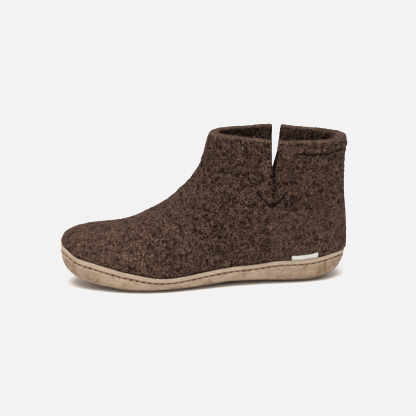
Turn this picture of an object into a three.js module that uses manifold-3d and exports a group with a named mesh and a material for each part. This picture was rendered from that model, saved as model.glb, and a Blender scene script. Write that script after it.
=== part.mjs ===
// A felted wool slipper boot for the left foot, as a group of named solids in millimetres.
// +X runs from the heel to the toe, +Y points to the outer side of the foot, and +Z is up.
// The felt upper, the leather cup of the sole and the felt insole all follow one form: a loft of
// sections that stand upright across the toe, fan round the instep and lie level at the collar.
import * as THREE from "three";
import { mergeVertices, toCreasedNormals } from "three/addons/utils/BufferGeometryUtils.js";
import Module from "manifold-3d";

const wasm = await Module();
wasm.setup();

// The outside of the boot
const LENGTH = 273; // heel to toe
const BALL_WIDTH = 99;
const HEEL_WIDTH = 74;
const COLLAR_WIDTH = 86;
const TOE_HEIGHT = 61; // floor to the top of the toe box
const INSTEP_HEIGHT = 90; // floor to the top of the foot in front of the shaft
const SHAFT_HEIGHT = 143; // floor to the front of the collar
const TOE_SPRING = 13.5; // rise of the underside at the toe
const ARCH_RISE = 3.2; // rise of the underside between the heel and the ball
const TREAD_CUT = 1.2; // how far the round underside reaches under the floor before it is cut flat

// The walls
const FELT = 5.5;
const COLLAR_FELT = 8; // the felt swells towards the cut collar
const LEATHER = 2; // the sole's cup round the foot
const SOLE_THICKNESS = 3; // the sole underfoot
const SOLE_INSET = 0.8; // how far the felt stands out over the leather
const INSOLE_THICKNESS = 5.7;
const GAP = 0.3; // between neighbouring pieces

// The sole's cup and its sewn line
const RIM_HEIGHT = 24; // floor to the top of the leather beside the heel
const SEAM_DROP = 4; // rim to the top of the sewn groove
const SEAM_WIDTH = 1.4;
const SEAM_DEPTH = 0.8;

// The collar, its slits and the sewn V under each slit
const COLLAR_ROUND = 2.5;
const SLIT_PLACE = 0.5613; // share of the way from the back of the collar to its front
const SLIT_DEPTH = 52;
const SLIT_SKEW = 3.3; // how much nearer the heel the inner side's slit is
const SLIT_THROAT = 1.8;
const SLIT_FOOT = 1;
const OUTER_MOUTH = 6; // width of the outer side's slit at the collar
const OUTER_THROAT_DEPTH = 27; // collar to where that slit turns narrow
const OUTER_LEAN = 0.6; // how far its front edge leans to the heel at the collar
const INNER_MOUTH = 8.6;
const INNER_THROAT_DEPTH = 41;
const INNER_LEAN = 1.5;
const VEE_DROP = 14; // foot of the slit to the point of the V
const VEE_SHIFT = 2; // how far the point lies in front of the slit
const VEE_RISE = 15.5; // point of the V to the ends of its arms
const VEE_FRONT = 12.5; // reach of the arm towards the toe
const VEE_BACK = 15.5; // reach of the arm towards the heel
const VEE_WIDTH = 1.6;
const VEE_DEPTH = 0.8;

// The tab sewn in over the rim, on the outer side
const TAB_AT = 43; // heel to the middle of the tab
const TAB_LENGTH = 26;
const TAB_HEIGHT = 4.8;
const TAB_THICKNESS = 0.6;
const TAB_STEPS = 6; // steps along its edges

// How fine the surfaces are
const SIDE_STEPS = 16; // steps up each side of a ring, half below its widest place and half above
const TRACE_STEPS = 120; // steps that a quarter of a ring is traced with before its points are spaced
const TURN_WEIGHT = BALL_WIDTH / 4; // length that a radian of turning counts as, so bends get more points
const LINE_STEPS = 34; // steps along a line seen from the side
const BEYOND = 20; // how far the cutting plates reach past the boot
const CREASE_ANGLE = 0.7;

// The sizes that a section's numbers are shares of: its widths, the heights of its low and high ends,
// and how far its low end is sunk under the floor
const SUNK = TREAD_CUT + SOLE_INSET;
const TIP = { width: BALL_WIDTH, base: TOE_HEIGHT, top: TOE_HEIGHT, sink: 0 };
const TOE = { width: BALL_WIDTH, base: TOE_SPRING, top: TOE_HEIGHT, sink: 0 };
const BALL = { width: BALL_WIDTH, base: ARCH_RISE, top: TOE_HEIGHT, sink: SUNK };
const VAMP = { width: BALL_WIDTH, base: ARCH_RISE, top: INSTEP_HEIGHT, sink: SUNK };
const HEEL = { width: HEEL_WIDTH, base: ARCH_RISE, top: SHAFT_HEIGHT, sink: SUNK };
const BACK = { width: HEEL_WIDTH, base: SHAFT_HEIGHT, top: SHAFT_HEIGHT, sink: 0 };
const SHAFT = { width: COLLAR_WIDTH, base: SHAFT_HEIGHT, top: SHAFT_HEIGHT, sink: 0 };

// A section is an egg-shaped ring from its low end, under the foot or behind it, to its high end, on top
// or in front. Places along the foot are shares of the length. Mid is the sideways place of both ends,
// outer and inner are the half widths, belly is the share of the way up where the ring is widest, and
// the roundness of an end is 2 for an ellipse and more for a squarer end. Rings is the number of rings
// of the loft from the section before.
const PLACES = ["lowX", "lowZ", "highX", "highZ", "mid"];
const COLUMNS = [...PLACES, "outer", "inner", "belly", "lowRound", "highRound", "rings"];
const SECTIONS = [
  [TIP, 1.0, 0.54, 1.0, 0.54, -0.06, 0.0, 0.0, 0.45, 2.4, 2.2, 0],
  [TOE, 0.992, 1.63, 0.995, 0.715, -0.06, 0.131, 0.131, 0.42, 2.5, 2.2, 3],
  [TOE, 0.97, 0.98, 0.977, 0.84, -0.06, 0.232, 0.222, 0.4, 2.8, 2.2, 3],
  [TOE, 0.923, 0.48, 0.93, 0.922, -0.05, 0.333, 0.313, 0.38, 3.2, 2.3, 3],
  [TOE, 0.85, 0.13, 0.864, 0.962, -0.035, 0.424, 0.404, 0.36, 3.6, 2.3, 3],
  [BALL, 0.751, 0.1, 0.773, 0.99, -0.015, 0.5, 0.465, 0.34, 4.0, 2.2, 3],
  [VAMP, 0.641, 0.0, 0.678, 0.785, 0.0, 0.525, 0.444, 0.34, 4.0, 2.1, 2],
  [VAMP, 0.531, 0.25, 0.612, 0.902, 0.0, 0.48, 0.384, 0.32, 3.8, 2.0, 2],
  [VAMP, 0.41, 1.0, 0.573, 1.0, 0.0, 0.414, 0.338, 0.33, 3.4, 2.0, 2],
  [HEEL, 0.275, 0.5, 0.538, 0.69, 0.0, 0.514, 0.473, 0.38, 3.0, 2.0, 2],
  [HEEL, 0.132, 0.0, 0.517, 0.745, 0.0, 0.507, 0.493, 0.42, 3.0, 2.0, 2],
  [BACK, 0.05, 0.042, 0.5035, 0.794, 0.0, 0.514, 0.514, 0.45, 2.8, 2.0, 3],
  [BACK, 0.011, 0.154, 0.4945, 0.836, 0.0, 0.514, 0.514, 0.48, 2.5, 2.0, 3],
  [BACK, 0.004, 0.33, 0.487, 0.876, 0.0, 0.52, 0.52, 0.5, 2.5, 2.1, 2],
  [SHAFT, 0.009, 0.66, 0.475, 0.945, 0.0, 0.475, 0.475, 0.5, 2.3, 2.1, 2],
  [SHAFT, -0.005, 0.948, 0.465, 1.0, 0.0, 0.5, 0.5, 0.5, 2.3, 2.1, 2],
];

// The top of the leather, seen from the side: shares of the length from the heel, and of the rim's height
const RIM = [
  { at: -0.018, height: 1.12 },
  { at: 0.024, height: 1.16 },
  { at: 0.069, height: 1.115 },
  { at: 0.111, height: 1.03 },
  { at: 0.16, height: 0.99 },
  { at: 0.205, height: 0.99 },
  { at: 0.245, height: 1.0 },
  { at: 0.29, height: 0.94 },
  { at: 0.337, height: 0.88 },
  { at: 0.4, height: 0.855 },
  { at: 0.454, height: 0.795 },
  { at: 0.5, height: 0.735 },
  { at: 0.548, height: 0.665 },
  { at: 0.6, height: 0.61 },
  { at: 0.637, height: 0.61 },
  { at: 0.675, height: 0.66 },
  { at: 0.716, height: 0.75 },
  { at: 0.763, height: 0.86 },
  { at: 0.82, height: 1.01 },
  { at: 0.873, height: 1.155 },
  { at: 0.92, height: 1.3 },
  { at: 0.957, height: 1.47 },
  { at: 0.985, height: 1.68 },
  { at: 1.0, height: 1.8 },
];

// The top of the insole, seen from the side: shares of the length, and of the toe spring above its height
const BED = [
  { at: 0.0, height: 0.0 },
  { at: 0.25, height: 0.0 },
  { at: 0.41, height: 0.12 },
  { at: 0.6, height: 0.0 },
  { at: 0.75, height: 0.0 },
  { at: 0.85, height: 0.25 },
  { at: 0.923, height: 0.62 },
  { at: 0.971, height: 1.0 },
  { at: 1.007, height: 1.45 },
];

// The height of a smooth curve through the points (at, value), level beyond its ends
function curveHeight(at, value, x) {
  const last = at.length - 1;
  const place = Math.min(Math.max(x, at[0]), at[last]);
  let i = 0;
  while (i < last - 1 && place > at[i + 1]) i += 1;
  const slope = (k) => {
    const before = Math.max(k - 1, 0);
    const after = Math.min(k + 1, last);
    return (value[after] - value[before]) / (at[after] - at[before]);
  };
  const span = at[i + 1] - at[i];
  const t = (place - at[i]) / span;
  const rise = t * t * (3 - 2 * t);
  const bend = t * (1 - t) * (1 - t) * slope(i) - t * t * (1 - t) * slope(i + 1);
  return value[i] + (value[i + 1] - value[i]) * rise + bend * span;
}

// One row of the table of sections, in millimetres
function measured([sizes, ...shares]) {
  const share = Object.fromEntries(COLUMNS.map((name, i) => [name, shares[i]]));
  return {
    ...share,
    lowX: share.lowX * LENGTH,
    lowZ: share.lowZ * sizes.base - sizes.sink,
    highX: share.highX * LENGTH,
    highZ: share.highZ * sizes.top,
    mid: share.mid * sizes.width,
    outer: share.outer * sizes.width,
    inner: share.inner * sizes.width,
  };
}

// A point of the egg's edge in one quarter, as its share of the way up and of the half width.
// The turn runs from the low end to the belly, or from the belly to the high end.
function quarter(section, upper, turn) {
  const angle = (turn * Math.PI) / 2;
  const power = 2 / (upper ? section.highRound : section.lowRound);
  const s = Math.sin(angle) ** power;
  const c = Math.max(Math.cos(angle), 0) ** power;
  if (upper) return { up: section.belly + (1 - section.belly) * s, out: c };
  return { up: section.belly * (1 - c), out: s };
}

// Points along one quarter of a ring, closer together where it bends
function spacedQuarter(section, upper, height, width) {
  const trace = [];
  for (let k = 0; k <= TRACE_STEPS; k += 1) trace.push(quarter(section, upper, k / TRACE_STEPS));
  const weight = [0];
  let heading = null;
  for (let k = 1; k <= TRACE_STEPS; k += 1) {
    const rise = (trace[k].up - trace[k - 1].up) * height;
    const reach = (trace[k].out - trace[k - 1].out) * width;
    const next = Math.atan2(rise, reach);
    const turned = heading === null ? 0 : Math.abs(next - heading);
    weight.push(weight[k - 1] + Math.hypot(rise, reach) + turned * TURN_WEIGHT);
    heading = next;
  }
  const points = [];
  const steps = SIDE_STEPS / 2;
  let k = 1;
  for (let n = 0; n <= steps; n += 1) {
    const goal = (weight[TRACE_STEPS] * n) / steps;
    while (k < TRACE_STEPS && weight[k] < goal) k += 1;
    const t = (goal - weight[k - 1]) / (weight[k] - weight[k - 1]);
    const mix = (name) => trace[k - 1][name] + (trace[k][name] - trace[k - 1][name]) * t;
    points.push({ up: mix("up"), out: mix("out") });
  }
  return points;
}

// The points of a ring, from its low end up the outer side and back down the inner side
function ringPoints(section) {
  const low = new THREE.Vector3(section.lowX, section.mid, section.lowZ);
  const high = new THREE.Vector3(section.highX, section.mid, section.highZ);
  const height = low.distanceTo(high);
  const side = (width) => {
    const lower = spacedQuarter(section, false, height, width);
    const upper = spacedQuarter(section, true, height, width);
    return [...lower, ...upper.slice(1)].map(({ up, out }) => {
      const point = low.clone().lerp(high, up);
      point.y += out * width;
      return point;
    });
  };
  const outer = side(section.outer);
  const inner = side(section.inner).map((point) => point.setY(2 * section.mid - point.y));
  return [...outer, ...inner.slice(1, -1).reverse()];
}

// The rings of the whole form, evenly between the sections, after the point at the toe
function loftRings() {
  const sections = SECTIONS.map(measured);
  const station = [0];
  for (let i = 1; i < sections.length; i += 1) {
    const [a, b] = [sections[i - 1], sections[i]];
    const along = Math.hypot(b.lowX - a.lowX, b.lowZ - a.lowZ, b.highX - a.highX, b.highZ - a.highZ);
    station.push(station[i - 1] + Math.hypot(along, b.outer - a.outer));
  }
  const rings = [];
  for (let i = 1; i < sections.length; i += 1) {
    const count = sections[i].rings;
    for (let k = 1; k <= count; k += 1) {
      const at = station[i - 1] + ((station[i] - station[i - 1]) * k) / count;
      const read = (name) => curveHeight(station, sections.map((row) => row[name]), at);
      rings.push(ringPoints(Object.fromEntries(COLUMNS.map((name) => [name, read(name)]))));
    }
  }
  const tip = new THREE.Vector3(sections[0].highX, sections[0].mid, sections[0].highZ);
  return { tip, rings };
}

const LOFT = loftRings();
const RING_SIZE = 2 * SIDE_STEPS;
const COLLAR_RING = LOFT.rings.at(-1);

// The direction that points straight out of the mouth of the shaft
const MOUTH_LINE = COLLAR_RING[SIDE_STEPS].clone().sub(COLLAR_RING[0]);
const MOUTH_UP = MOUTH_LINE.clone().cross(new THREE.Vector3(0, 1, 0)).normalize();

// The outward direction at each point of the form
function outwards() {
  const { tip, rings } = LOFT;
  return rings.map((ring, i) =>
    ring.map((point, j) => {
      const before = i === 0 ? tip : rings[i - 1][j];
      const after = i === rings.length - 1 ? point : rings[i + 1][j];
      const round = ring[(j + 1) % RING_SIZE].clone().sub(ring[(j + RING_SIZE - 1) % RING_SIZE]);
      return after.clone().sub(before).cross(round).normalize();
    }),
  );
}

const OUTWARDS = outwards();

// The form moved out by a distance, or in where it is negative. The mouth lists rings at the collar,
// each a height over its plane and a distance further out.
function form(distance, mouth = [[0, 0]]) {
  const { tip, rings } = LOFT;
  const points = [tip.clone().add(new THREE.Vector3(distance, 0, 0))];
  rings.slice(0, -1).forEach((ring, i) => {
    ring.forEach((point, j) => points.push(point.clone().addScaledVector(OUTWARDS[i][j], distance)));
  });
  for (const [height, out] of mouth) {
    COLLAR_RING.forEach((point, j) => {
      const flat = OUTWARDS.at(-1)[j].clone().projectOnPlane(MOUTH_UP).normalize();
      points.push(point.clone().addScaledVector(flat, distance + out).addScaledVector(MOUTH_UP, height));
    });
  }
  const first = points.length - RING_SIZE;
  const sum = points.slice(first).reduce((total, point) => total.add(point), new THREE.Vector3());
  points.push(sum.divideScalar(RING_SIZE));

  const faces = [];
  for (let j = 0; j < RING_SIZE; j += 1) {
    const next = (j + 1) % RING_SIZE;
    faces.push(0, 1 + j, 1 + next);
    for (let start = 1; start < first; start += RING_SIZE) {
      const [a, b] = [start + j, start + next];
      faces.push(a, a + RING_SIZE, b + RING_SIZE, a, b + RING_SIZE, b);
    }
    faces.push(first + j, points.length - 1, first + next);
  }
  const geometry = new THREE.BufferGeometry().setFromPoints(points);
  geometry.setIndex(faces);
  return solid(geometry);
}

// A closed geometry as a solid that can be joined and cut
function solid(geometry) {
  geometry.deleteAttribute("normal");
  geometry.deleteAttribute("uv");
  const merged = mergeVertices(geometry);
  const vertProperties = new Float32Array(merged.attributes.position.array);
  const triVerts = new Uint32Array(merged.index.array);
  return new wasm.Manifold(new wasm.Mesh({ numProp: 3, vertProperties, triVerts }));
}

// A plate across the boot, given by its outline seen from the side
function plate(outline, from = -BALL_WIDTH, to = BALL_WIDTH) {
  const shape = new THREE.Shape(outline.map(([x, z]) => new THREE.Vector2(x, z)));
  const geometry = new THREE.ExtrudeGeometry(shape, { depth: to - from, bevelEnabled: false });
  geometry.rotateX(Math.PI / 2);
  geometry.translate(0, to, 0);
  return solid(geometry);
}

// Heights along the foot, read from a table of shares
function heightLine(table, base, size) {
  const places = table.map((row) => row.at * LENGTH);
  const heights = table.map((row) => base + row.height * size);
  return (x) => curveHeight(places, heights, x);
}

const rimHeight = heightLine(RIM, 0, RIM_HEIGHT);
const bedHeight = heightLine(BED, SOLE_THICKNESS + GAP + INSOLE_THICKNESS, TOE_SPRING);

// The points of a line of heights, from one place along the foot to another
function linePoints(heightAt, rise, from = -BEYOND, to = LENGTH + BEYOND, steps = LINE_STEPS) {
  const points = [];
  for (let k = 0; k <= steps; k += 1) {
    const x = from + ((to - from) * k) / steps;
    points.push([x, heightAt(x) + rise]);
  }
  return points;
}

// All that lies below a line of heights, or above a level height
function below(heightAt, rise) {
  return plate([...linePoints(heightAt, rise), [LENGTH + BEYOND, -BEYOND], [-BEYOND, -BEYOND]]);
}

function above(height) {
  const top = SHAFT_HEIGHT + BEYOND;
  const [back, front] = [-BEYOND, LENGTH + BEYOND];
  return plate([[back, height], [front, height], [front, top], [back, top]]);
}

// The band between two heights measured from a line
function band(heightAt, low, high, from, to, steps) {
  const lower = linePoints(heightAt, low, from, to, steps);
  const upper = linePoints(heightAt, high, from, to, steps);
  return [...lower, ...upper.reverse()];
}

const LINER = -SOLE_INSET - LEATHER; // the inner face of the leather cup

// The leather cup, flat where it stands, with the sewn line sunk into its side
function sole() {
  const block = form(-SOLE_INSET).intersect(below(rimHeight, 0)).intersect(above(0));
  const hollow = form(LINER).intersect(above(SOLE_THICKNESS));
  const seamBand = plate(band(rimHeight, -SEAM_DROP - SEAM_WIDTH, -SEAM_DROP));
  const groove = seamBand.subtract(form(-SOLE_INSET - SEAM_DEPTH));
  return block.subtract(hollow).subtract(groove);
}

// The felt insole fills the bottom of the cup
function insole() {
  return form(LINER - GAP).intersect(above(SOLE_THICKNESS + GAP)).intersect(below(bedHeight, 0));
}

// The outer and the inner side of the boot, each with its slit's place along the foot and its form
const SLIT_AT = COLLAR_RING[0].x + SLIT_PLACE * MOUTH_LINE.x;
const SIDES = [
  {
    at: SLIT_AT,
    from: 0,
    to: BALL_WIDTH,
    mouth: OUTER_MOUTH,
    throatDepth: OUTER_THROAT_DEPTH,
    lean: OUTER_LEAN,
  },
  {
    at: SLIT_AT - SLIT_SKEW,
    from: -BALL_WIDTH,
    to: 0,
    mouth: INNER_MOUTH,
    throatDepth: INNER_THROAT_DEPTH,
    lean: INNER_LEAN,
  },
];

// The height of the collar over a place along the foot
function collarHeight(x) {
  return COLLAR_RING[0].z + ((x - COLLAR_RING[0].x) * MOUTH_LINE.z) / MOUTH_LINE.x;
}

// The slit in one side of the shaft, open at the collar and narrow at its foot
function slit({ at, from, to, mouth, throatDepth, lean }) {
  const top = collarHeight(at);
  const front = at + SLIT_FOOT / 2;
  const throatFront = front - lean * (1 - throatDepth / SLIT_DEPTH);
  const outline = [
    [front, top - SLIT_DEPTH],
    [front - lean, top],
    [front - lean, top + BEYOND],
    [front - lean - mouth, top + BEYOND],
    [front - lean - mouth, top],
    [throatFront - SLIT_THROAT, top - throatDepth],
    [front - SLIT_FOOT, top - SLIT_DEPTH],
  ];
  return plate(outline, from, to);
}

// The sewn V under one slit
function vee({ at, from, to }) {
  const middle = at + VEE_SHIFT;
  const point = collarHeight(at) - SLIT_DEPTH - VEE_DROP;
  const end = point + VEE_RISE;
  const outline = [
    [middle + VEE_FRONT, end],
    [middle, point],
    [middle - VEE_BACK, end],
    [middle - VEE_BACK, end + VEE_WIDTH],
    [middle, point + VEE_WIDTH],
    [middle + VEE_FRONT, end + VEE_WIDTH],
  ];
  return plate(outline, from, to).subtract(form(-VEE_DEPTH));
}

// The felt shell, thick and round at its cut collar, thinner where it goes down into the cup, open
// underneath
function upper() {
  const full = COLLAR_ROUND;
  const half = full * (1 - Math.SQRT1_2);
  const swell = COLLAR_FELT - FELT;
  const outside = form(0, [[-full, 0], [-half, -half], [0, -full]]);
  const brim = [[-full, 0], [-half, half], [0, full], [BEYOND, full]];
  const inside = form(-FELT, brim.map(([height, out]) => [height, out - swell]));
  const outsideCup = below(rimHeight, GAP).subtract(form(LINER - GAP));
  const shell = outside.subtract(inside).subtract(outsideCup).subtract(below(bedHeight, GAP));
  return SIDES.reduce((felt, side) => felt.subtract(slit(side)).subtract(vee(side)), shell);
}

// The bare tab lies against the felt, with its lower edge on the rim
function sideTab() {
  const ends = [TAB_AT - TAB_LENGTH / 2, TAB_AT + TAB_LENGTH / 2];
  const strip = plate(band(rimHeight, GAP, GAP + TAB_HEIGHT, ...ends, TAB_STEPS), 0, BALL_WIDTH);
  return strip.intersect(form(GAP + TAB_THICKNESS)).subtract(form(GAP));
}

// A named mesh of a cut solid
function piece(name, cut, material) {
  const { vertProperties, triVerts } = cut.getMesh();
  const geometry = new THREE.BufferGeometry();
  geometry.setAttribute("position", new THREE.BufferAttribute(new Float32Array(vertProperties), 3));
  geometry.setIndex(new THREE.BufferAttribute(new Uint32Array(triVerts), 1));
  const finish = new THREE.MeshStandardMaterial(material);
  const mesh = new THREE.Mesh(toCreasedNormals(geometry, CREASE_ANGLE), finish);
  mesh.name = name;
  return mesh;
}

const boot = new THREE.Group();
boot.add(piece("upper", upper(), { color: 0x5a4a3e, roughness: 0.95, metalness: 0 }));
boot.add(piece("sole", sole(), { color: 0xa08468, roughness: 0.85, metalness: 0 }));
boot.add(piece("insole", insole(), { color: 0x6b5a4b, roughness: 0.95, metalness: 0 }));
boot.add(piece("side_tab", sideTab(), { color: 0xe8e4da, roughness: 0.8, metalness: 0 }));

// The origin is the middle of the boot's outline on the floor
const extent = new THREE.Box3().setFromObject(boot);
const centre = extent.getCenter(new THREE.Vector3());
boot.position.set(-centre.x, -centre.y, -extent.min.z);

export default boot;
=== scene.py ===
"""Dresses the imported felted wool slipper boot: wool felt, stitched suede, thread, tab and studio."""

import logging
import math
from dataclasses import dataclass, field
from enum import Enum

import bpy
import numpy as np
from mathutils import Matrix, Vector
from mathutils.bvhtree import BVHTree


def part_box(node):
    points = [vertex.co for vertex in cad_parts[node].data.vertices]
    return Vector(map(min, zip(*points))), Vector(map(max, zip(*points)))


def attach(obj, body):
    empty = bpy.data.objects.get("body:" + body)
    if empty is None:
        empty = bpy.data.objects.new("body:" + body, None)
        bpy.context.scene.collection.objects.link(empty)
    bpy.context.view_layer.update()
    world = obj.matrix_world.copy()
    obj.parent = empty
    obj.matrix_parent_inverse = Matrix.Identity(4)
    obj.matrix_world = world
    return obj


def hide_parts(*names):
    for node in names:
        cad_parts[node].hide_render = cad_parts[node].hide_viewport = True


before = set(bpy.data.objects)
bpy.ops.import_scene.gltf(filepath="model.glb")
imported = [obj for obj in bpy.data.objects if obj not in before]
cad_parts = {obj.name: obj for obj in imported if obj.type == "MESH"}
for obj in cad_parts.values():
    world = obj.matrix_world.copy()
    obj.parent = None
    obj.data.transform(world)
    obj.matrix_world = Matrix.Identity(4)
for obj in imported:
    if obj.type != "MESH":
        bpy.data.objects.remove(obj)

LOG = logging.getLogger("slipper_boot")
MM = 0.001
MERGE = 0.000002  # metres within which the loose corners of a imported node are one
BODY = "root"
OUTSIDE = 0.3  # metres, further out than any of the boot
SHAFT_X = -72.0  # X of the shaft's middle, in mm
COLLAR_END = 5.0  # X ahead of all of the collar, in mm


class Side(Enum):
    """The two sides of a left boot, as the sign of their Y."""

    OUTER = 1
    INNER = -1


class Slot(Enum):
    """The record's material slots."""

    FELT = "felt"
    SUEDE = "suede"
    FOOTBED = "footbed"
    TAPE = "tape"


def activate(piece: bpy.types.Object) -> None:
    """Makes one object the only selected and the active one.

    Args:
        piece: The object that the next operators act on.
    """
    bpy.ops.object.select_all(action="DESELECT")
    piece.select_set(True)
    bpy.context.view_layer.objects.active = piece


def node_copy(node: str, name: str) -> bpy.types.Object:
    """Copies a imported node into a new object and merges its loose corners.

    Args:
        node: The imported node's name.
        name: The new object's name.

    Returns:
        The new object, with no material.
    """
    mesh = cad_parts[node].data.copy()
    mesh.name = name
    mesh.materials.clear()
    piece = bpy.data.objects.new(name, mesh)
    bpy.context.scene.collection.objects.link(piece)
    activate(piece)
    bpy.ops.object.mode_set(mode="EDIT")
    bpy.ops.mesh.select_all(action="SELECT")
    bpy.ops.mesh.remove_doubles(threshold=MERGE)
    bpy.ops.object.mode_set(mode="OBJECT")
    return piece


def face_outwards(piece: bpy.types.Object) -> None:
    """Turns the faces of a closed mesh outwards.

    Args:
        piece: The object to change.
    """
    activate(piece)
    bpy.ops.object.mode_set(mode="EDIT")
    bpy.ops.mesh.select_all(action="SELECT")
    bpy.ops.mesh.normals_make_consistent(inside=False)
    bpy.ops.object.mode_set(mode="OBJECT")


def apply_modifier(piece: bpy.types.Object, kind: str, **settings: object) -> None:
    """Adds one modifier to an object and applies it.

    Args:
        piece: The object to change.
        kind: Blender's name for the modifier's type.
        **settings: The modifier's own settings.
    """
    activate(piece)
    modifier = piece.modifiers.new(kind.lower(), kind)
    for key, value in settings.items():
        setattr(modifier, key, value)
    bpy.ops.object.modifier_apply(modifier=modifier.name)


def read_points(piece: bpy.types.Object) -> np.ndarray:
    """Reads a mesh's corners.

    Args:
        piece: The object to read.

    Returns:
        An array with a row of X, Y and Z, in metres, for each vertex.
    """
    points = np.empty(len(piece.data.vertices) * 3, np.float64)
    piece.data.vertices.foreach_get("co", points)
    return points.reshape(-1, 3)


def read_normals(piece: bpy.types.Object) -> np.ndarray:
    """Reads the direction that a mesh's surface faces at each vertex.

    Args:
        piece: The object to read.

    Returns:
        An array with a unit vector for each vertex.
    """
    normals = np.empty(len(piece.data.vertices) * 3, np.float64)
    piece.data.vertex_normals.foreach_get("vector", normals)
    return normals.reshape(-1, 3)


def write_points(piece: bpy.types.Object, points: np.ndarray) -> None:
    """Puts a mesh's vertices in new places.

    Args:
        piece: The object to change.
        points: A row of X, Y and Z, in metres, for each vertex.
    """
    piece.data.vertices.foreach_set("co", points.ravel())
    piece.data.update()


def write_attribute(piece: bpy.types.Object, name: str, values: np.ndarray) -> None:
    """Keeps one number for each vertex, for the materials to read.

    Args:
        piece: The object to change.
        name: The attribute's name.
        values: One number for each vertex.
    """
    attribute = piece.data.attributes.new(name, "FLOAT", "POINT")
    attribute.data.foreach_set("value", values.astype(np.float32))


def write_weights(piece: bpy.types.Object, name: str, weights: np.ndarray) -> str:
    """Makes a vertex group from weights, in tenths.

    Args:
        piece: The object to change.
        name: The group's name.
        weights: A number from 0 to 1 for each vertex.

    Returns:
        The group's name.
    """
    group = piece.vertex_groups.new(name=name)
    tenths = np.rint(np.clip(weights, 0, 1) * 10).astype(int)
    for level in range(1, 11):
        members = np.flatnonzero(tenths == level)
        group.add(members.tolist(), level / 10, "REPLACE")
    return group.name


def rise(values: np.ndarray, low: float, high: float) -> np.ndarray:
    """Goes smoothly from 0 at low to 1 at high.

    Args:
        values: The numbers to judge.
        low: Where the rise starts.
        high: Where it ends, which may be less than low.

    Returns:
        A number from 0 to 1 for each value.
    """
    share = np.clip((values - low) / (high - low), 0, 1)
    return share * share * (3 - 2 * share)


def hump(distance: np.ndarray, width: float) -> np.ndarray:
    """A bell curve.

    Args:
        distance: How far each place is from the middle.
        width: The distance at which the bell is down to about a third.

    Returns:
        A number from 0 to 1 for each distance.
    """
    return np.exp(-((distance / width) ** 2))


def thin_out(piece: bpy.types.Object, triangles: int, hidden: np.ndarray) -> None:
    """Brings a mesh down to a number of triangles, first of all where nobody sees it.

    Args:
        piece: The object to change.
        triangles: The most that it may have.
        hidden: For each vertex, from 0 to 1, how far it is out of sight.
    """
    group = write_weights(piece, "hidden", hidden)
    apply_modifier(piece, "TRIANGULATE")
    have = len(piece.data.polygons)
    left = max(1 - 0.85 * float((hidden > 0.5).mean()), triangles / have)
    apply_modifier(piece, "DECIMATE", ratio=left, vertex_group=group)
    have = len(piece.data.polygons)
    if have > triangles:
        apply_modifier(piece, "DECIMATE", ratio=triangles / have)
    piece.vertex_groups.clear()


def surface_of(piece: bpy.types.Object) -> BVHTree:
    """Makes a mesh's surface ready for rays and nearest points.

    Args:
        piece: The object to read.

    Returns:
        The tree of its faces.
    """
    return BVHTree.FromObject(piece, bpy.context.evaluated_depsgraph_get())


def inside_share(points: np.ndarray, normals: np.ndarray) -> np.ndarray:
    """Tells the faces that look into the boot from those that look out of it.

    Args:
        points: The mesh's vertices, in metres.
        normals: The direction that each faces.

    Returns:
        1 on an inner face, and 0 on an outer one.
    """
    centre = np.stack([points[:, 0], np.zeros(len(points)), np.full(len(points), 22 * MM)], axis=1)
    shaft = points[:, 2] > 62 * MM
    centre[shaft, 0] = -74 * MM
    centre[shaft, 2] = points[shaft, 2]
    heel = ~shaft & (points[:, 0] < -95 * MM)
    centre[heel, 0] = -95 * MM
    tip = ~shaft & (points[:, 0] > 95 * MM)
    centre[tip, 0] = 95 * MM
    away = points - centre
    away /= np.maximum(np.linalg.norm(away, axis=1), 1e-6)[:, None]
    return rise((away * normals).sum(axis=1), 0.1, -0.3)


def finish_piece(piece: bpy.types.Object, nodes: tuple[str, ...] = ()) -> None:
    """Hangs a finished piece on the boot's body.

    Args:
        piece: The finished object.
        nodes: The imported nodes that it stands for.
    """
    piece.data.polygons.foreach_set("use_smooth", np.ones(len(piece.data.polygons), bool))
    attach(piece, BODY)
    if nodes:
        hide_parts(*nodes)
    faces = sum(len(face.vertices) - 2 for face in piece.data.polygons)
    LOG.info("%s: %d triangles", piece.name, faces)


def toe_dip(places: np.ndarray) -> np.ndarray:
    """Tells how far the rim is drawn down beside the toe.

    Args:
        places: Places along the boot, in metres.

    Returns:
        The depth at each place, in metres.
    """
    return 1.2 * MM * hump(places - 119 * MM, 8 * MM)


def band_growth(places: np.ndarray) -> np.ndarray:
    """Tells how much wider than at the heel the leather's sewn rim is, as a factor for each place."""
    return 1 + 0.18 * rise(places, 15 * MM, 75 * MM)


class Skyline:
    """The top line of a surface seen from the side, as a height for each place along the boot."""

    def __init__(self, surface: BVHTree, low: float, high: float, step: float = 1.5 * MM) -> None:
        """Measures the line with upright rays.

        Args:
            surface: The surface.
            low: Where the line starts along the boot, in metres.
            high: Where it ends.
            step: The distance from one measured place to the next, in metres.
        """
        down = Vector((0, 0, -1))
        rows = np.arange(-55, 55) * MM
        self.places = np.arange(low, high, step)
        tops = []
        for x in self.places:
            hits = [surface.ray_cast(Vector((x, y, OUTSIDE)), down)[0] for y in rows]
            tops.append(max((hit.z for hit in hits if hit is not None), default=0.0))
        self.heights = np.convolve(np.pad(tops, 2, mode="edge"), np.ones(5) / 5, mode="valid")

    def at(self, places: np.ndarray) -> np.ndarray:
        """Gives the line's height, in metres, at each place along the boot."""
        return np.interp(places, self.places, self.heights)


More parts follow.
